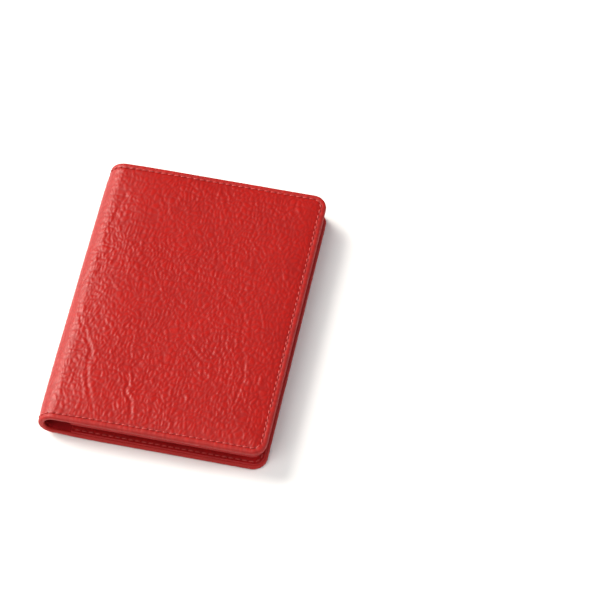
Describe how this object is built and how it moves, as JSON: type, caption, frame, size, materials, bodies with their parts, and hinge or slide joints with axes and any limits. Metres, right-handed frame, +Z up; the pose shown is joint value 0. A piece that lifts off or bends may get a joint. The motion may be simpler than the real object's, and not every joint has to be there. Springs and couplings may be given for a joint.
{
  "type": "passport holder wallet",
  "caption": "Closed bifold leather wallet with a rounded spine, made to hold a passport between its covers, with a passport pocket and stepped card slots inside.",
  "frame": {"origin": "on the table, under the middle of the closed wallet's bounding box", "axes": "+Z up through the covers, +X from the spine to the fore edge, +Y from the bottom edge to the top edge"},
  "size_m": [0.109, 0.148, 0.0165],
  "materials": {
    "outer_leather": "semi-matt, pebbled grain",
    "pocket_leather": "semi-matt, fine grain",
    "lining": "matt, fine weave",
    "interlining": "matt felt",
    "thread": "satin twisted thread"
  },
  "bodies": {
    "back_cover": {"outer_leather_back": "outer_leather", "interlining_back": "interlining", "lining_back": "lining", "passport_pocket": "pocket_leather", "stitching_back_outside": "thread", "stitching_passport_pocket": "thread"},
    "spine_1": {"outer_leather_spine_1": "outer_leather", "interlining_spine_1": "interlining", "lining_spine_1": "lining", "stitching_spine_1_bottom": "thread", "stitching_spine_1_top": "thread"},
    "spine_2": {"outer_leather_spine_2": "outer_leather", "interlining_spine_2": "interlining", "lining_spine_2": "lining", "stitching_spine_2_bottom": "thread", "stitching_spine_2_top": "thread"},
    "spine_3": {"outer_leather_spine_3": "outer_leather", "interlining_spine_3": "interlining", "lining_spine_3": "lining", "stitching_spine_3_bottom": "thread", "stitching_spine_3_top": "thread"},
    "front_cover": {"outer_leather_front": "outer_leather", "interlining_front": "interlining", "lining_front": "lining", "slip_pocket": "pocket_leather", "card_slot_1": "pocket_leather", "card_slot_2": "pocket_leather", "card_slot_3": "pocket_leather", "stitching_front_outside": "thread", "stitching_card_pockets": "thread"}
  },
  "joints": [
    {"name": "crease_1", "type": "hinge", "parent": "back_cover", "child": "spine_1", "pos_m": [-0.04943, 0, 0.00058], "axis": [0, -1, 0], "range_deg": [0, 45]},
    {"name": "crease_2", "type": "hinge", "parent": "spine_1", "child": "spine_2", "pos_m": [-0.05392, 0, 0.00507], "axis": [0, -1, 0], "range_deg": [0, 45]},
    {"name": "crease_3", "type": "hinge", "parent": "spine_2", "child": "spine_3", "pos_m": [-0.05392, 0, 0.01143], "axis": [0, -1, 0], "range_deg": [0, 45]},
    {"name": "crease_4", "type": "hinge", "parent": "spine_3", "child": "front_cover", "pos_m": [-0.04943, 0, 0.01592], "axis": [0, -1, 0], "range_deg": [0, 45]}
  ],
  "couplings": [
    {"joint": "crease_2", "follows": "crease_1", "ratio": 1},
    {"joint": "crease_3", "follows": "crease_1", "ratio": 1},
    {"joint": "crease_4", "follows": "crease_1", "ratio": 1}
  ]
}
